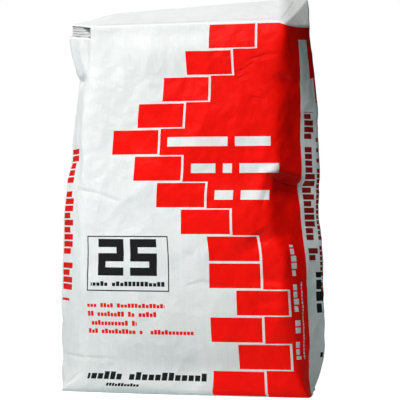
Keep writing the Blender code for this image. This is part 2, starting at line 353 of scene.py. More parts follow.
class PatchSettings(bpy.types.PropertyGroup):
    """The sheet pasted over the folded top end."""

    left: metres("Left end", "Left end of the sheet", -0.114)
    right: metres("Right end", "Right end of the sheet", 0.130)
    half_depth: metres("Half depth", "Half of the sheet's width", 0.041)
    columns: whole("Columns", "Faces along the sheet", 120, 8)
    rows: whole("Rows", "Faces across the sheet", 40, 4)
    paper: metres("Paper", "Thickness", 0.00015)
    gap: metres("Gap", "Clearance over the folded end", 0.0002)


class ValveSettings(bpy.types.PropertyGroup):
    """The flattened paper sleeve in the filling mouth."""

    plies: whole("Plies", "Layers that show in the mouth", 4, 1)
    columns: whole("Columns", "Faces along the edge of a ply", 64, 8)
    narrow: metres("Narrow", "Half of the top ply's width in the mouth", 0.0255)
    wide: metres("Wide", "Half of the lowest ply's width in the mouth", 0.0365)
    set_back: metres("Set back", "How far the lips stand behind the mouth", 0.0013)
    inner_end: metres("Inner end", "Where the sleeve ends inside the sack", -0.015)
    first_depth: metres("First ply", "Depth of the first ply under the top end", 0.0022)
    last_depth: metres("Last ply", "Depth of the last ply under the top end", 0.0124)
    curl: metres("Curl", "How far a lip curls down", 0.0029)
    paper: metres("Paper", "Thickness of a ply", 0.0004)


class PaperSettings(bpy.types.PropertyGroup):
    """Colours of the paper and of its inks, and how rough it is."""

    white: colour("Paper", "Bleached paper", (0.860, 0.864, 0.866))
    red: colour("Red ink", "The printed field", (1.0, 0.004, 0.001))
    black: colour("Black ink", "The number and the small bars", (0.013, 0.013, 0.014))
    # The dust colour also paints shade on the lowered tip of the top end and low on the white
    # paper.
    dust_and_shade: colour("Dust", "Cement dust on the paper", (0.47, 0.48, 0.46))
    dark_powder: colour("Dark powder", "The darker grains of the cement", (0.26, 0.26, 0.25))
    pale_powder: colour("Pale powder", "The paler grains of the cement", (0.36, 0.36, 0.34))
    powder_roughness: number("Powder roughness", "Of the cement", 0.95)
    roughness: number("Roughness", "Of the plain paper", 0.56)
    ink_roughness: number("Ink roughness", "Of the printed paper", 0.46)
    gloss: number("Gloss", "Strength of the paper's reflections", 0.10)
    patch_brightness: number("Patch", "Brightness of the end patches", 0.99)
    # A darker copy of the paper: painted shade for the sleeve deep in the mouth.
    valve_shaded_brightness: number("Valve", "Brightness of the sleeve in the valve", 0.70)


class StudioSettings(bpy.types.PropertyGroup):
    """The camera and the soft light of the studio."""

    camera_azimuth: number(
        "Azimuth", "Camera from the front to the right", math.radians(15), subtype="ANGLE"
    )
    camera_distance: metres("Distance", "Camera to the bag's axis", 2.1)
    camera_height: metres("Camera height", "Height of the lens above the floor", 0.2226)
    lens: number("Lens", "Focal length in millimetres", 144.27)
    key_power: number("Key light", "Power of the large soft light", 45.5, subtype="POWER")
    ambient: number("Ambient", "Strength of the light from above and all round", 0.15)
    ambient_right: number("Ambient right", "The same from the far right", 0.03)


# Shape of the filled sack


def ramp(value, start, end):
    """0 below start, 1 above end, and a straight line between them."""
    return np.clip((value - start) / (end - start), 0.0, 1.0)


def smooth_ramp(value, start, end):
    """The same with both ends eased."""
    share = ramp(value, start, end)
    return share * share * (3.0 - 2.0 * share)


def depth_share(y):
    """0 at the front fold of the top end panel and 1 at its back fold."""
    return np.clip(y / TOP_DEPTH + 0.5, -0.1, 1.1)


def lean_out(x, y):
    """How far the level section's point at x, y is moved to the right at the top."""
    return TOP_BACK_LEAN * depth_share(y) * ramp(x, 0.0, TOP_CORNER_RIGHT)


def rise(x, y):
    """How far the top end panel is above the front fold, at a point of the level section."""
    height = depth_share(y) * (TOP_RISE + TOP_TWIST * x)
    sunk = TOP_FOLD_DEPTH * ramp(x + TOP_FOLD_SLANT * (y + TOP_DEPTH / 2), *TOP_FOLD)
    height = height - sunk * (1 - TOP_FOLD_FADE * depth_share(y))
    height = height - TOP_TIP_DROP_LEFT * ramp(-x, TOP_CORNER_LEFT, TOP_REACH_LEFT)
    return height - TOP_TIP_DROP_RIGHT * ramp(x, TOP_CORNER_RIGHT, TOP_REACH_RIGHT)


def panel_rise(x, y):
    """The same at a point of the finished panel, which leans out to the right."""
    lean = TOP_BACK_LEAN * depth_share(y)
    return rise(x - lean * ramp(x, 0.0, TOP_CORNER_RIGHT + lean), y)


def smooth_curve(places, values, wanted):
    """A smooth curve through values at places that never swings past them."""
    gaps = np.diff(places)
    slopes = np.diff(values) / gaps
    before, after = slopes[:-1], slopes[1:]
    weight_before = 2 * gaps[1:] + gaps[:-1]
    weight_after = gaps[1:] + 2 * gaps[:-1]
    turning = before * after <= 0
    safe_before = np.where(turning, 1.0, before)
    safe_after = np.where(turning, 1.0, after)
    resistance = weight_before / safe_before + weight_after / safe_after
    inner = (weight_before + weight_after) / resistance
    tangents = np.concatenate((slopes[:1], np.where(turning, 0.0, inner), slopes[-1:]))
    at = np.clip(np.searchsorted(places, wanted) - 1, 0, len(gaps) - 1)
    gap = gaps[at]
    t = (wanted - places[at]) / gap
    return (
        (2 * t ** 3 - 3 * t ** 2 + 1) * values[at]
        + (t ** 3 - 2 * t ** 2 + t) * gap * tangents[at]
        + (3 * t ** 2 - 2 * t ** 3) * values[at + 1]
        + (t ** 3 - t ** 2) * gap * tangents[at + 1]
    )


def section_sizes(heights):
    """The sizes of the section at each height, one row each."""
    columns = [smooth_curve(STAGES[:, 0], column, heights) for column in STAGES[:, 1:].T]
    return np.stack(columns, axis=1)


def spread_evenly(x, y, count):
    """An outline as evenly spaced points: their x and y, and how far along each one is."""
    travelled = np.concatenate(([0.0], np.cumsum(np.hypot(np.diff(x), np.diff(y)))))
    even = np.linspace(0.0, travelled[-1], count)
    return np.interp(even, travelled, x), np.interp(even, travelled, y), even


def smoothed(x, y, width, spacing):
    """An outline with its corners rounded; past both ridges it goes on as in a mirror."""
    count = max(int(width / spacing) // 2 * 2 + 1, 3)
    kernel = np.convolve(np.ones(count), np.ones(count)) / count ** 2
    pad = len(kernel) // 2
    padded_x = np.concatenate((x[pad:0:-1], x, x[-2:-pad - 2:-1]))
    padded_y = np.concatenate((-y[pad:0:-1], y, -y[-2:-pad - 2:-1]))
    return np.convolve(padded_x, kernel, "valid"), np.convolve(padded_y, kernel, "valid")


def front_outline(sizes, corner_width, ridge_width):
    """The front half of a section, evenly from the left ridge to the right one."""
    left, left_corner, right, right_corner, corner_depth, crown = sizes
    share = np.linspace(0.0, 1.0, SIDE_SAMPLES)
    middle = np.linspace(-left_corner, right_corner, FRONT_SAMPLES)[1:-1]
    corner = np.where(middle < 0, left_corner, right_corner)
    bulge = crown - (crown - corner_depth) * (middle / corner) ** 2
    left_x = -left + (left - left_corner) * share
    right_x = right_corner + (right - right_corner) * share
    x = np.concatenate((left_x, middle, right_x))
    y = -np.concatenate((corner_depth * share, bulge, corner_depth * share[::-1]))
    x, y, even = spread_evenly(x, y, OUTLINE_SAMPLES)
    soft = smoothed(x, y, corner_width, even[1])
    crisp = smoothed(x, y, ridge_width, even[1])
    to_ridge = np.minimum(even, even[-1] - even)
    near_ridge = np.exp(-(to_ridge / RIDGE_REACH) ** 2)
    return [near_ridge * a + (1 - near_ridge) * b for a, b in zip(crisp, soft)]


def body_grid(settings, heights, insets, columns):
    """Points of the wall, ring by ring, with the direction that faces out of each.

    A ring runs from the left ridge over the front to the right ridge and back round the
    back. Returned are x, y, the level outward direction, and the paper coordinate u.
    """
    all_x, all_y = [], []
    for sizes, height, inset in zip(section_sizes(heights), heights, insets):
        to_end = min(height, FRONT_HEIGHT - height)
        plump = sum(math.exp(-((height - at) / spread) ** 2) for at, spread in PLUMP_HEIGHTS)
        corner_width = settings.corner_rounding * (1.0 + settings.plump_corners * plump)
        corner_width *= END_ROUNDING + (1 - END_ROUNDING) * smooth_ramp(to_end, 0.0, END_REACH)
        x, y = front_outline(sizes - inset, corner_width, settings.ridge_rounding)
        x, y, _ = spread_evenly(x, y, columns + 1)
        all_x.append(np.concatenate((x, x[-2:0:-1])))
        all_y.append(np.concatenate((y, -y[-2:0:-1])))
    x, y = np.array(all_x), np.array(all_y)
    tangent_x = np.roll(x, -1, axis=1) - np.roll(x, 1, axis=1)
    tangent_y = np.roll(y, -1, axis=1) - np.roll(y, 1, axis=1)
    length = np.hypot(tangent_x, tangent_y)
    u = np.arange(2 * columns) / columns * TUBE_WIDTH - TUBE_WIDTH / 2
    return x, y, tangent_y / length, -tangent_x / length, u


def ring_heights(settings):
    """Heights and insets of the rings, close together round the folds at both ends."""
    angles = np.radians(np.linspace(0, 90, 5))
    growing = settings.fold_radius * (1 - np.cos(angles))
    shrinking = settings.fold_radius * (1 - np.sin(angles))
    base, top = BASE_HEIGHT + growing, FRONT_HEIGHT - shrinking
    wall = np.linspace(base[-1], top[0], settings.rings + 1)[1:-1]
    return np.concatenate((base, wall, top)), np.concatenate((shrinking, wall * 0, growing))


def lifted(x, y, heights):
    """Tilts the upper rings up to the leaning end panel: x, y and z of the points.

    The back corner of the base is tucked in on the right.
    """
    level = heights[:, None]
    at_corner = smooth_ramp(x, *BASE_TUCK_X) * smooth_ramp(y, *BASE_TUCK_Y)
    x = x - BASE_TUCK * at_corner * (1 - smooth_ramp(level, *BASE_TUCK_Z))
    tilt = smooth_ramp(level, TILT_STARTS, FRONT_HEIGHT - VALVE_SLOT)
    return x + tilt * lean_out(x, y), y, level + tilt * rise(x, y)


# Relief of the paper


def waves(u, v, random, count, shortest, longest):
    """Smooth random waves of about unit height that meet themselves round the tube."""
    total = np.zeros(np.broadcast(u, v).shape)
    turns = 2 * TUBE_WIDTH
    for _ in range(count):
        wave = random.uniform(shortest, longest)
        angle = random.uniform(0, math.pi)
        around = round(math.cos(angle) * turns / wave)
        up = math.sin(angle) * 2 * math.pi / wave
        phase = random.uniform(0, 2 * math.pi)
        total = total + np.cos(2 * math.pi * around / turns * u + up * v + phase)
    return total * math.sqrt(2.0 / count)


def crease(u, v, start, end, depth, above, below, peak=0.5):
    """A straight crease between two points of the paper, with flanks of its own widths.

    It is deepest at the share peak of its length.
    """
    start, end = np.array(start), np.array(end)
    run = end - start
    length = np.hypot(*run)
    run = run / length
    from_u, from_v = u - start[0], v - start[1]
    along = (from_u * run[0] + from_v * run[1]) / length
    across = from_v * run[0] - from_u * run[1]
    flank = np.clip(1 - np.abs(across) / np.where(across > 0, above, below), 0, 1) ** 1.3
    towards_peak = np.where(along < peak, along / peak, (1 - along) / (1 - peak))
    return -depth * flank * smooth_ramp(towards_peak, 0.0, 1.0)


def hollow(u, v, centre, widths, heights, depth):
    """A soft dent that reaches to its own distances left and right, and up and down."""
    from_u, from_v = u - centre[0], v - centre[1]
    width = np.where(from_u < 0, widths[0], widths[1])
    height = np.where(from_v > 0, heights[0], heights[1])
    return -depth * np.exp(-((from_u / width) ** 2 + (from_v / height) ** 2))


def random_creases(settings, u, v):
    """Short random creases all over the paper, most of them nearly level."""
    random = np.random.default_rng(settings.seed)
    total = np.zeros(np.broadcast(u, v).shape)
    for _ in range(RANDOM_CREASES):
        centre_u = random.uniform(-TUBE_WIDTH / 2, 1.5 * TUBE_WIDTH)
        centre_v = random.uniform(0.01, FRONT_HEIGHT - 0.01)
        half = random.uniform(0.008, 0.035)
        angle = random.normal(0.0, 0.55)
        step = (half * math.cos(angle), half * math.sin(angle))
        start = (centre_u - step[0], centre_v - step[1])
        end = (centre_u + step[0], centre_v + step[1])
        depth = random.uniform(0.0002, 0.0009)
        above = random.uniform(0.004, 0.010)
        below = above * random.uniform(0.6, 1.6)
        total = total + crease(u, v, start, end, depth, above, below)
    return total


def relief(settings, u, v):
    """How far the paper stands out of the plain filled shape."""
    random = np.random.default_rng(settings.seed + 1)
    lumps = waves(u, v, random, *LUMP_WAVES)
    coarse = waves(u, v, random, *COARSE_CRUMPLE)
    ridged = np.abs(coarse) + 0.5 * np.abs(waves(u, v, random, *FINE_CRUMPLE))
    total = settings.lump_depth * lumps - settings.crumple_depth * (ridged - 1.0)
    total = total + random_creases(settings, u, v)
    u_mm, v_mm = u * 1000, v * 1000
    shown = sum(crease(u_mm, v_mm, *line) for line in CREASES)
    shown = shown + sum(hollow(u_mm, v_mm, *dent) for dent in HOLLOWS)
    to_end = np.minimum(v, FRONT_HEIGHT - v)
    return (total + shown / 1000) * smooth_ramp(to_end, 0.0, FADE_AT_ENDS)


def panel_relief(x, y, share):
    """How far the top end panel stands out of its plain shape; nothing at its edges."""
    dents = sum(hollow(x * 1000, y * 1000, *dent) for dent in PANEL_HOLLOWS) / 1000
    return dents * 4 * share * (1 - share)


# Meshes


def grid_faces(first, rows, columns, closed):
    """Corner numbers of the faces of a grid of points, row by row."""
    faces = []
    across = columns if closed else columns - 1
    for row in range(rows - 1):
        for column in range(across):
            following = (column + 1) % columns
            lower = first + row * columns
            upper = lower + columns
            ring = (lower + column, lower + following, upper + following, upper + column)
            faces.append(ring)
    return faces


def new_piece(name, points, faces):
    """A mesh object made of points and faces."""
    mesh = bpy.data.meshes.new(name)
    mesh.from_pydata([tuple(point) for point in points], [], faces)
    mesh.update()
    piece = bpy.data.objects.new(name, mesh)
    bpy.context.scene.collection.objects.link(piece)
    return piece


def thicken(piece, thickness, offset):
    """Gives an open sheet its thickness and keeps the result as its mesh."""
    solidify = piece.modifiers.new("Thickness", "SOLIDIFY")
    solidify.thickness = thickness
    solidify.offset = offset
    solidify.use_rim = True
    depsgraph = bpy.context.evaluated_depsgraph_get()
    mesh = bpy.data.meshes.new_from_object(piece.evaluated_get(depsgraph), depsgraph=depsgraph)
    piece.modifiers.clear()
    piece.data = mesh


def dress(piece, materials, slot, *replaced):
    """Finishes a piece: its materials, its body, and the solids that it stands for."""
    for material in materials:
        piece.data.materials.append(material)
    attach(piece, BODY)
    if replaced:
        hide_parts(*replaced)


def panel_points(ring, columns, rows, tilted):
    """Inner points of an end panel over a ring, in strips from its front to its back.

    A tilted panel has its own rise and dents, and keeps to the ring's height at its edges.
    """
    share = np.arange(1, rows) / rows
    share = share - PANEL_CROWDING / (2 * math.pi) * np.sin(2 * math.pi * share)
    sides = ring[:, 1:columns], ring[:, :columns:-1]
    extras = [side[2] - panel_rise(side[0], side[1]) for side in sides]
    strips = []
    for step in share:
        x, y, z = sides[0] * (1 - step) + sides[1] * step
        if tilted:
            z = panel_rise(x, y) + extras[0] * (1 - step) + extras[1] * step
            z = z + panel_relief(x, y, step)
        strips.append(np.stack((x, y, z), axis=1))
    return np.concatenate(strips)


def panel_faces(ring_first, inner_first, columns, rows, upwards):
    """Faces of an end panel between a ring's corner numbers and its inner points."""
    def corner(column, row):
        if column in (0, columns) or row == 0:
            return ring_first + column
        if row == rows:
            return ring_first + (2 * columns - column) % (2 * columns)
        return inner_first + (row - 1) * (columns - 1) + column - 1

    faces = []
    for column in range(columns):
        for row in range(rows):
            steps = ((0, 0), (1, 0), (1, 1), (0, 1))
            ring = [corner(column + right, row + back) for right, back in steps]
            face = list(dict.fromkeys(ring))
            if len(face) >= 3:
                faces.append(tuple(face) if upwards else tuple(reversed(face)))
    return faces


def closed_body(rings, columns, rows, left_out=None):
    """Points, wall faces and end faces of a body made of rings with a panel at each end."""
    around = 2 * columns
    base = panel_points(rings[:, 0], columns, rows, False)
    top = panel_points(rings[:, -1], columns, rows, True)
    wall_points = rings.reshape(3, -1).T
    wall = grid_faces(0, rings.shape[1], around, True)
    if left_out is not None:
        wall = [face for face in wall if not left_out[divmod(face[0], around)]]
    count = len(wall_points)
    ends = panel_faces(0, count, columns, rows, False)
    ends += panel_faces(count - around, count + len(base), columns, rows, True)
    return np.concatenate((wall_points, base, top)), wall, ends


def wall_rings(settings, heights, insets, columns, depth):
    """Rings of points up the wall, at a depth under the creased paper: x, y and z."""
    x, y, out_x, out_y, u = body_grid(settings, heights, insets, columns)
    moved = relief(settings, u[None, :], heights[:, None]) - depth
    return np.stack(lifted(x + out_x * moved, y + out_y * moved, heights))


def make_sack(settings):
    """The printed paper skin, with both folded ends and the mouth of the valve."""
    columns, rows = settings.columns, settings.panel_rows
    heights, insets = ring_heights(settings)
    rings = wall_rings(settings, heights, insets, columns, 0.0)
    middle_below = FRONT_HEIGHT - (heights + np.roll(heights, -1)) / 2
    in_slot = (middle_below > MOUTH_TOP) & (middle_below < VALVE_SLOT)
    mouth = in_slot[:, None] & (rings[0] < -TOP_CORNER_LEFT - MOUTH_SET_BACK)
    points, wall, ends = closed_body(rings, columns, rows, mouth)
    sack = new_piece("printed_sack", points, wall + ends)
    add_paper_coordinates(sack, heights, columns, len(wall))
    sack.data.shade_smooth()
    return sack


def add_paper_coordinates(sack, heights, columns, wall_count):
    """Writes u and v, in metres, into the map that the print is laid on."""
    around = 2 * columns
    layer = sack.data.uv_layers.new(name="print")
    for polygon in sack.data.polygons[wall_count:]:
        polygon.material_index = 1
    for polygon in sack.data.polygons[:wall_count]:
        corners = [divmod(index, around) for index in polygon.vertices]
        wraps = any(column == around - 1 for _, column in corners)
        for loop, (row, column) in zip(polygon.loop_indices, corners):
            turn = around if wraps and column == 0 else 0
            place = (column + turn) / columns * TUBE_WIDTH - TUBE_WIDTH / 2
            layer.data[loop].uv = (place, heights[row])


def make_fill(settings, sack_settings):
    """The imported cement, which follows the dents of the paper."""
    columns = settings.columns
    top = FRONT_HEIGHT - settings.below_panel
    heights = np.linspace(BASE_HEIGHT + FILL_ABOVE_BASE, top, settings.rings)
    insets = heights * 0
    insets[0] = FILL_BASE_EDGE
    rings = wall_rings(sack_settings, heights, insets, columns, settings.inset)
    points, wall, ends = closed_body(rings, columns, settings.panel_rows)
    fill = new_piece("packed_cement", points, wall + ends)
    fill.data.shade_smooth()
    return fill


def make_top_patch(settings, sack):
    """The sheet pasted over the top end, laid on the folded paper below it."""
    points = []
    rows, columns = settings.rows + 1, settings.columns + 1
    for y in np.linspace(-settings.half_depth, settings.half_depth, rows):
        for x in np.linspace(settings.left, settings.right, columns):
            found, place, _, _ = sack.ray_cast((x, y, 1.0), (0.0, 0.0, -1.0))
            if not found:
                raise ValueError(f"no folded paper under the patch at {x:.3f}, {y:.3f}")
            points.append((x, y, place.z + settings.gap))
    patch = new_piece("top_patch", points, grid_faces(0, rows, columns, False))
    patch.data.shade_smooth()
    thicken(patch, settings.paper, 1.0)
    patch.data.set_sharp_from_angle(angle=SHARP_ANGLE)
    return patch


def make_valve(settings):
    """The plies of the flattened sleeve, with lips that curl down in the mouth."""
    tip = -TOP_REACH_LEFT + settings.set_back
    slant = (TOP_REACH_LEFT - TOP_CORNER_LEFT) / (TOP_DEPTH / 2)
    # Rows of points from a ply's edge inwards, and the curl of each
    inward = np.array((0.0, 0.006, 0.02, 0.06, 0.12, 0.3, 0.6, 1.0))[:, None]
    drop = np.array((1.0, 0.12, 0.0, 0.0, 0.0, 0.0, 0.0, 0.0))[:, None] * settings.curl
    points, faces = [], []
    for share in np.linspace(0.0, 1.0, settings.plies):
        depth = settings.first_depth + share * (settings.last_depth - settings.first_depth)
        half_width = settings.narrow + share * (settings.wide - settings.narrow)
        shoulder = tip + half_width * slant
        corners_x = (settings.inner_end, shoulder, tip, shoulder, settings.inner_end)
        corners_y = np.array((-1.0, -1.0, 0.0, 1.0, 1.0)) * half_width
        edge_x, edge_y, _ = spread_evenly(corners_x, corners_y, settings.columns + 1)
        x = edge_x + (settings.inner_end - edge_x) * PLY_NARROWING * inward
        y = edge_y * (1 - inward)
        z = FRONT_HEIGHT + panel_rise(x, y) - depth - drop
        faces += grid_faces(len(points), len(inward), len(edge_x), False)
        points += list(np.stack((x, y, z), axis=2).reshape(-1, 3))
    valve = new_piece("valve_plies", points, faces)
    valve.data.shade_smooth()
    thicken(valve, settings.paper, 0.0)
    valve.data.set_sharp_from_angle(angle=SHARP_ANGLE)
    return valve


# Materials


def plug(node, sockets):
    """Connects a node's sockets to wires, or sets their values."""
    for name, value in sockets.items():
        if isinstance(value, Wire):
            node.id_data.links.new(value.socket, node.inputs[name])
        else:
            node.inputs[name].default_value = value


def math_method(operation, reflected=False):
    """A method that adds a Math node with the wire and further values as its inputs."""
    def method(self, *others):
        sockets = dict(enumerate((*others, self) if reflected else (self, *others)))
        return Wire.node(self.tree, "ShaderNodeMath", {"operation": operation}, sockets)

    return method


class Wire:
    """An output of a shader node; an expression on wires and numbers adds its Math nodes."""

    def __init__(self, socket):
        self.socket = socket
        self.tree = socket.id_data

    @classmethod
    def node(cls, tree, kind, settings, sockets, output=0):
        """Adds any node, with its settings and then its sockets: the wire of one output.

        The output None is for a node that has none.
        """
        made = tree.nodes.new(kind)
        for name, value in settings.items():
            setattr(made, name, value)
        plug(made, sockets)
        return None if output is None else cls(made.outputs[output])

    def output(self, name):
        """The wire of another output of the same node."""
        return Wire(self.socket.node.outputs[name])

    __add__, __radd__ = math_method("ADD"), math_method("ADD", True)
    __sub__, __rsub__ = math_method("SUBTRACT"), math_method("SUBTRACT", True)
    __mul__, __rmul__ = math_method("MULTIPLY"), math_method("MULTIPLY", True)
    __truediv__, __rtruediv__ = math_method("DIVIDE"), math_method("DIVIDE", True)
    __lt__, __gt__ = math_method("LESS_THAN"), math_method("GREATER_THAN")
    __abs__ = math_method("ABSOLUTE")
    floor, sign = math_method("FLOOR"), math_method("SIGN")
    least, most = math_method("MINIMUM"), math_method("MAXIMUM")
    modulo = math_method("FLOORED_MODULO")

    def eased(self, start, end):
        """0 at start and 1 at end, with eased ends."""
        sockets = {"Value": self, "From Min": start, "From Max": end}
        settings = {"interpolation_type": "SMOOTHSTEP"}
        return Wire.node(self.tree, "ShaderNodeMapRange", settings, sockets, "Result")


def mixed(share, first, second):
    """A colour between two colours."""
    sockets = {0: share, 6: first, 7: second}
    return Wire.node(share.tree, "ShaderNodeMix", {"data_type": "RGBA"}, sockets, 2)


def shaded(tint, shade):
    """A colour made lighter or darker by a wire."""
    sockets = {0: tint, "Scale": shade}
    return Wire.node(shade.tree, "ShaderNodeVectorMath", {"operation": "SCALE"}, sockets)


def texture(kind, x, y, settings, sockets, output):
    """A flat texture at a place given in cells."""
    place = Wire.node(x.tree, "ShaderNodeCombineXYZ", {}, {"X": x, "Y": y})
    sockets = {"Vector": place, **sockets}
    return Wire.node(x.tree, "ShaderNodeTex" + kind, settings, sockets, output)


def noise(x, y, detail=2.0, roughness=0.5):
    """Soft noise between 0 and 1."""
    sockets = {"Scale": 1.0, "Detail": detail, "Roughness": roughness}
    return texture("Noise", x, y, {"noise_dimensions": "2D"}, sockets, 0)


def cell_edges(x, y):
    """Distance to the borders of random cells, 0 on a border."""
    settings = {"voronoi_dimensions": "2D", "feature": "DISTANCE_TO_EDGE"}
    return texture("Voronoi", x, y, settings, {"Scale": 1.0}, "Distance")


def random_value(x, y):
    """A random number between 0 and 1 for every pair of a cell and a plain number."""
    return texture("WhiteNoise", x, y, {"noise_dimensions": "2D"}, {}, "Value")


def coordinates(tree, kind, settings, output):
    """The first two coordinates of the place that a node gives."""
    place = Wire.node(tree, kind, settings, {}, output)
    first = Wire.node(tree, "ShaderNodeSeparateXYZ", {}, {0: place})
    return first, first.output(1)


def box(u, v, left, right, low, high):
    """1 inside a rectangle of the paper and 0 outside."""
    inside_u = abs(u - (left + right) / 2) < (right - left) / 2
    return inside_u * (abs(v - (low + high) / 2) < (high - low) / 2)


def small_blocks(along, across, start, stop, low, high, pitch):
    """A row of small blocks, some left out and the others of one of two heights."""
    place = along / pitch
    cell = place.floor()
    shown = (random_value(cell, low) > BLOCKS_LEFT_OUT) * (place - cell < BLOCK_WIDTH)
    shorter = (random_value(cell, low + 0.5) > TALL_BLOCKS) * (high - low) * SHORTER_BY
    return box(along, across, start, stop, low, high) * shown * (across < high - shorter)


def brick_field(u, v):
    """The red field: courses of bricks with a stepped left edge and white joints."""
    course = (v / COURSE).floor()
    steps = abs(course - WIDEST_COURSE).least(MOST_STEPS + course.modulo(2.0))
    left = FIELD_LEFT + steps * (BRICK / 2)
    from_left = u - left
    field = (from_left > 0.0) * (u < FIELD_RIGHT)
    in_course = v - course * COURSE
    level_joint = (abs(in_course - COURSE / 2) > COURSE / 2 - JOINT / 2) * (from_left < BRICK)
    upright_joint = abs(from_left - BRICK + JOINT / 2) < JOINT / 2
    return field * (1.0 - level_joint.most(upright_joint))


def number_in_box(u, v):
    """A framed plain 25; the 5 is the mirror image of the 2."""
    inner = [edge + NUMBER_LINE * side for edge, side in zip(NUMBER_BOX, (1, -1, 1, -1))]
    outline = box(u, v, *NUMBER_BOX) - box(u, v, *inner)
    across = NUMBER_PITCH - abs(u - NUMBER_MIDDLE[0])
    up = v - NUMBER_MIDDLE[1]
    side = up.sign() * across
    inside = (abs(across) < NUMBER_HALF[0]) * (abs(up) < NUMBER_HALF[1])
    level = (abs(up) < NUMBER_STROKE / 2).most(abs(up) > NUMBER_HALF[1] - NUMBER_STROKE)
    upright = side > NUMBER_HALF[0] - NUMBER_STROKE
    return outline.most(inside * level.most(upright))


def inks(u, v):
    """How much red and black ink there is at a place of the paper, in millimetres."""
    face = TUBE_WIDTH * 1000
    around = u - ((u / face + 0.5).floor() * face)
    red = brick_field(around, v)
    for bar in WHITE_BARS:
        red = red * (1.0 - box(around, v, *bar))
    for column in WHITE_COLUMNS:
        red = red * (1.0 - small_blocks(v, around, *column))
    for height, left in CORNER_STEPS:
        red = red.most((v > height) * (u > left) * (u < CORNER_STEPS_END))
    black = number_in_box(around, v)
    for along, across, rows in ((around, v, RED_ROWS), (v, around, RED_COLUMNS)):
        for *row, share_of_black in rows:
            blocks = small_blocks(along, across, *row)
            red = red.most(blocks)
            black = black.most(blocks * share_of_black)
    for along, across, rows in ((around, v, BLACK_ROWS), (v, around, BLACK_COLUMNS)):
        for row in rows:
            black = black.most(small_blocks(along, across, *row))
    below_top = v < PRINT_TOP
    return red * below_top, black * below_top


def new_tree(name):
    """A new material with only its shader: the material, the tree and the shader node."""
    material = bpy.data.materials.new(name)
    material.use_nodes = True
    tree = material.node_tree
    return material, tree, tree.nodes["Principled BSDF"]


def opaque(values):
    """A colour setting as a socket takes it."""
    return (*values, 1.0)


def fine_crease(u, v, start, end, depth, above, below):
    """The height of a thin crease between two points, which fades out towards both."""
    run_u, run_v = end[0] - start[0], end[1] - start[1]
    length = math.hypot(run_u, run_v)
    along = ((u - start[0]) * run_u + (v - start[1]) * run_v) / length ** 2
    across = ((v - start[1]) * run_u - (u - start[0]) * run_v) / length
    flank = 1.0 - (across / above).most(across / -below)
    ends = along.least(1.0 - along) * 4.0
    return flank.most(0.0) * ends.most(0.0).least(1.0) * -depth


def paper_surface(u, v, extra=0.0):
    """The shade and the normal of plain paper: fibres, streaks, crinkles with painted shade
    along their lines, and extra height.
    """
    fibres = noise(u * 1100.0, v * 500.0, 3.0, 0.6)
    streaks = noise(u * 620.0, v * 9.0, 2.0)
    wander_u = noise(u * 22.0, v * 22.0, 2.0)
    wander_v = noise(u * 22.0 + 31.0, v * 22.0, 2.0)
    large = cell_edges(u * 17.0 + wander_u * 1.6, v * 21.0 + wander_v * 1.6)
    small = cell_edges(u * 52.0 + wander_v * 3.0, v * 60.0 + wander_u * 3.0)
    crinkles = (large * 3.0).least(1.0) * 0.7 + (small * 3.0).least(1.0) * 0.3
    dimples = noise(u * 60.0, v * 60.0, 3.0, 0.6)
    height = crinkles * 0.0005 + dimples * 0.0008 + streaks * 0.00006 + fibres * 0.00004
    blotches = noise(u * 30.0 + 7.0, v * 30.0, 4.0, 0.6)
    # The crinkles term paints shade along the crinkle lines; fibres, streaks and blotches are
    # the paper's own uneven tone.
    shade = 0.86 + fibres * 0.04 + streaks * 0.09 + crinkles * 0.03 + blotches * 0.08
    sockets = {"Strength": 0.8, "Distance": 1.0, "Height": height + extra}
    return shade, Wire.node(u.tree, "ShaderNodeBump", {}, sockets, "Normal")


def connect_paper(shader, settings, tint, shade, roughness, normal):
    """Connects what a paper's shader varies, and sets the gloss that all paper shares."""
    plug(shader, {
        "Base Color": shaded(tint, shade), "Roughness": roughness, "Normal": normal,
        "Specular IOR Level": settings.gloss,
    })


def printed_paper(settings):
    """The bleached paper with its two inks."""
    material, tree, shader = new_tree("printed_paper")
    u, v = coordinates(tree, "ShaderNodeUVMap", {"uv_map": "print"}, 0)
    u_mm, v_mm = u * 1000.0, v * 1000.0
    folds = sum(fine_crease(u_mm, v_mm, *fold) for fold in FINE_CREASES) * 0.001
    lap = (u - SEAM[0]).eased(0.0, SEAM_EDGE) * (SEAM[1] - u).eased(0.0, SEAM_EDGE)
    shade, normal = paper_surface(u, v, folds + lap * SEAM_THICKNESS)
    # Painted shade in the pinch of the right corner.
    pinch_shade = fine_crease(u_mm, v_mm, *PINCH_SHADE_FOLD).eased(0.0, 0.6)
    shade = shade * (1.0 - pinch_shade * PINCH_SHADE)
    # Painted shade on the upper right side.
    side_shade_mask = u.eased(*SIDE_SHADE_LEFT) * u.eased(*SIDE_SHADE_RIGHT) * v.eased(*SIDE_SHADE_HEIGHT)
    shade = shade * (1.0 - side_shade_mask * SIDE_SHADE)
    # Painted light: brighter low down, with painted shade higher up.
    shade = shade * (LOWER_PAINTED_LIGHT - v.eased(*PAINTED_SHADE_HEIGHTS) * UPPER_PAINTED_SHADE)
    red, black = inks(u_mm, v_mm)
    inked = red.most(black)
    tint = mixed(red, opaque(settings.white), opaque(settings.red))
    tint = mixed(black, tint, opaque(settings.black))
    loose = noise(u * 14.0, v * 14.0, 4.0, 0.65).eased(0.45, 0.85) * LOOSE_DUST
    # Dust settled low down, strong enough to be painted shade on the lower white paper as well.
    settled_dust_and_shade = v.eased(SETTLED_DUST_AND_SHADE_HEIGHT, 0.0) * SETTLED_DUST_AND_SHADE
    tint = mixed((loose + settled_dust_and_shade) * (1.0 - inked), tint, opaque(settings.dust_and_shade))
    roughness = settings.roughness + inked * (settings.ink_roughness - settings.roughness)
    connect_paper(shader, settings, tint, shade, roughness, normal)
    return material


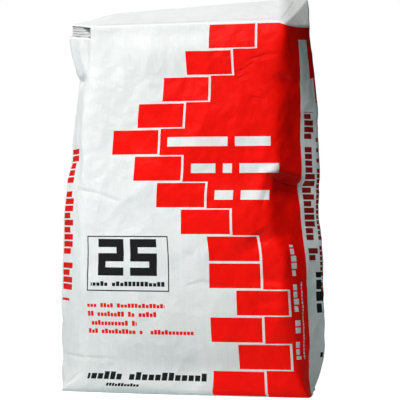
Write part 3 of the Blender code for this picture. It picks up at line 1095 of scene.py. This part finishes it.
def plain_paper(settings, name, brightness):
    """Bleached paper without print, for the folded ends, the patches and the sleeve."""
    material, tree, shader = new_tree(name)
    x, y = coordinates(tree, "ShaderNodeTexCoord", {}, "Object")
    shade, normal = paper_surface(x, y)
    plain = [channel * brightness for channel in settings.white]
    # Painted shade on the lowered tip of the top end, in the dust colour.
    tip_shade_mask = (x + TOP_FOLD_SLANT * (y + TOP_DEPTH / 2)).eased(*TIP_SHADE_PLACE)
    tint = mixed(tip_shade_mask * TIP_SHADE, opaque(plain), opaque(settings.dust_and_shade))
    connect_paper(shader, settings, tint, shade, settings.roughness, normal)
    return material


def cement_powder(settings):
    """Fine grey powder."""
    material, tree, shader = new_tree("cement_powder")
    x, y = coordinates(tree, "ShaderNodeTexCoord", {}, "Object")
    grains = noise(x * 700.0, y * 700.0, 4.0, 0.7)
    tint = mixed(grains, opaque(settings.dark_powder), opaque(settings.pale_powder))
    plug(shader, {"Base Color": tint, "Roughness": settings.powder_roughness})
    return material


# Operators


class CEMENTBAG_OT_sack(bpy.types.Operator):
    """Build the printed paper sack"""

    bl_idname = "cement_bag.sack"
    bl_label = "Paper sack"

    def execute(self, context):
        settings = context.scene.cement_bag_sack
        paper = context.scene.cement_bag_paper
        sack = make_sack(settings)
        thicken(sack, settings.paper, -1.0)
        for vertex in sack.data.vertices:
            vertex.co.z = max(vertex.co.z, BASE_HEIGHT)
        papers = (printed_paper(paper), plain_paper(paper, "folded_paper", 1.0))
        dress(sack, papers, "sack_paper", "paper_sack")
        return {"FINISHED"}


class CEMENTBAG_OT_fill(bpy.types.Operator):
    """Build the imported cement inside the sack"""

    bl_idname = "cement_bag.fill"
    bl_label = "Packed cement"

    def execute(self, context):
        fill = make_fill(context.scene.cement_bag_fill, context.scene.cement_bag_sack)
        dress(fill, (cement_powder(context.scene.cement_bag_paper),), "cement", "cement_fill")
        return {"FINISHED"}


class CEMENTBAG_OT_patches(bpy.types.Operator):
    """Build the pasted sheet of the top end and dress the one of the bottom end"""

    bl_idname = "cement_bag.patches"
    bl_label = "End patches"

    def execute(self, context):
        paper = context.scene.cement_bag_paper
        material = plain_paper(paper, "patch_paper", paper.patch_brightness)
        sack = bpy.data.objects.get("printed_sack")
        if sack is None:
            raise RuntimeError("the end patches lie on the sack, which has to be built first")
        context.view_layer.update()
        patch = make_top_patch(context.scene.cement_bag_patch, sack)
        dress(patch, (material,), "patch_paper", "top_end_patch")
        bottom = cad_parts["bottom_end_patch"]
        bottom.data.materials.clear()
        bottom.data.materials.append(material)
        return {"FINISHED"}


class CEMENTBAG_OT_valve(bpy.types.Operator):
    """Build the plies of the valve sleeve"""

    bl_idname = "cement_bag.valve"
    bl_label = "Valve sleeve"

    def execute(self, context):
        valve = make_valve(context.scene.cement_bag_valve)
        paper = context.scene.cement_bag_paper
        # The sleeve's paper is darkened with painted shade.
        material = plain_paper(paper, "valve_paper", paper.valve_shaded_brightness)
        dress(valve, (material,), "valve_paper", "valve_sleeve")
        return {"FINISHED"}


def set_up(context, data, place, target):
    """Adds a camera or light at a place, looking at a target."""
    thing = bpy.data.objects.new(data.name, data)
    context.scene.collection.objects.link(thing)
    thing.location = place
    thing.rotation_mode = "QUATERNION"
    thing.rotation_quaternion = (Vector(target) - Vector(place)).to_track_quat("-Z", "Y")
    return thing


def add_camera(context, settings):
    """The camera of the photograph."""
    data = bpy.data.cameras.new("camera")
    data.lens = settings.lens
    data.sensor_width = SENSOR_WIDTH
    azimuth, distance = settings.camera_azimuth, settings.camera_distance
    right, front = distance * math.sin(azimuth), -distance * math.cos(azimuth)
    place = (right, front, settings.camera_height)
    context.scene.camera = set_up(context, data, place, CAMERA_AIM)


def add_floor():
    """A plain pale floor that reads as white, and the same one as the bag's light sees it."""
    reach = FLOOR_REACH
    for name, height, glow, right in FLOORS:
        edges = ((-reach, -reach), (right, -reach), (right, reach), (-reach, reach))
        floor = new_piece(name, [(*edge, height) for edge in edges], [(0, 1, 2, 3)])
        material, _, shader = new_tree(name)
        plug(shader, {
            "Base Color": FLOOR_TINT, "Roughness": 1.0, "Specular IOR Level": 0.0,
            "Emission Color": WHITE, "Emission Strength": glow,
        })
        floor.data.materials.append(material)
        floor.visible_camera = glow > 0
        floor.visible_diffuse = floor.visible_shadow = floor.visible_glossy = (glow == 0)


def add_key_light(context, settings):
    """The large soft light, in front of the bag, above it and to its left."""
    data = bpy.data.lights.new("key", "AREA")
    data.shape = "RECTANGLE"
    data.size = data.size_y = KEY_SIZE
    data.energy = settings.key_power
    data.color = KEY_TINT
    set_up(context, data, KEY_PLACE, KEY_AIM)


def add_world(context, settings):
    """White behind the bag, and faint light from all round, with less of it from the right."""
    world = bpy.data.worlds.new("studio")
    world.use_nodes = True
    tree = world.node_tree
    tree.nodes.clear()
    to_right, _ = coordinates(tree, "ShaderNodeTexCoord", {}, "Generated")
    near, far = (AMBIENT_TINT, settings.ambient), (AMBIENT_TINT, settings.ambient_right)
    light, far_light, seen = (
        Wire.node(tree, "ShaderNodeBackground", {}, {"Color": tint, "Strength": strength})
        for tint, strength in (near, far, (WHITE, 1.0))
    )
    sockets = {0: to_right.eased(0.1, 0.9), 1: light, 2: far_light}
    lit = Wire.node(tree, "ShaderNodeMixShader", {}, sockets)
    by_camera = Wire.node(tree, "ShaderNodeLightPath", {}, {}, "Is Camera Ray")
    surface = Wire.node(tree, "ShaderNodeMixShader", {}, {0: by_camera, 1: lit, 2: seen})
    Wire.node(tree, "ShaderNodeOutputWorld", {}, {"Surface": surface}, None)
    context.scene.world = world


class CEMENTBAG_OT_stage(bpy.types.Operator):
    """Build the floor, the soft light and the camera"""

    bl_idname = "cement_bag.stage"
    bl_label = "Studio"

    def execute(self, context):
        settings = context.scene.cement_bag_studio
        add_camera(context, settings)
        add_floor()
        add_key_light(context, settings)
        add_world(context, settings)
        context.scene.view_settings.view_transform = "Standard"
        return {"FINISHED"}


class CEMENTBAG_PT_panel(bpy.types.Panel):
    """The bag's operators and settings, in the sidebar"""

    bl_idname = "CEMENTBAG_PT_panel"
    bl_label = "Cement Bag"
    bl_space_type = "VIEW_3D"
    bl_region_type = "UI"
    bl_category = "Cement Bag"

    def draw(self, context):
        for operator, group in (*PARTS, (None, "cement_bag_paper")):
            part = self.layout.box()
            if operator:
                part.operator(operator.bl_idname)
            settings = getattr(context.scene, group)
            for name in settings.__annotations__:
                part.prop(settings, name)


PARTS = (
    (CEMENTBAG_OT_sack, "cement_bag_sack"),
    (CEMENTBAG_OT_fill, "cement_bag_fill"),
    (CEMENTBAG_OT_patches, "cement_bag_patch"),
    (CEMENTBAG_OT_valve, "cement_bag_valve"),
    (CEMENTBAG_OT_stage, "cement_bag_studio"),
)
GROUPS = {
    "cement_bag_sack": SackSettings,
    "cement_bag_fill": FillSettings,
    "cement_bag_patch": PatchSettings,
    "cement_bag_valve": ValveSettings,
    "cement_bag_paper": PaperSettings,
    "cement_bag_studio": StudioSettings,
}
CLASSES = (*GROUPS.values(), *[operator for operator, _ in PARTS], CEMENTBAG_PT_panel)


def register():
    """Adds the classes and their settings to Blender."""
    for part in CLASSES:
        bpy.utils.register_class(part)
    for name, group in GROUPS.items():
        setattr(bpy.types.Scene, name, bpy.props.PointerProperty(type=group))


def unregister():
    """Takes them out again."""
    for name in GROUPS:
        delattr(bpy.types.Scene, name)
    for part in reversed(CLASSES):
        bpy.utils.unregister_class(part)


def main():
    """Builds every piece and the studio."""
    register()
    bpy.ops.cement_bag.sack()
    bpy.ops.cement_bag.fill()
    bpy.ops.cement_bag.patches()
    bpy.ops.cement_bag.valve()
    bpy.ops.cement_bag.stage()


if __name__ == "__main__":
    main()
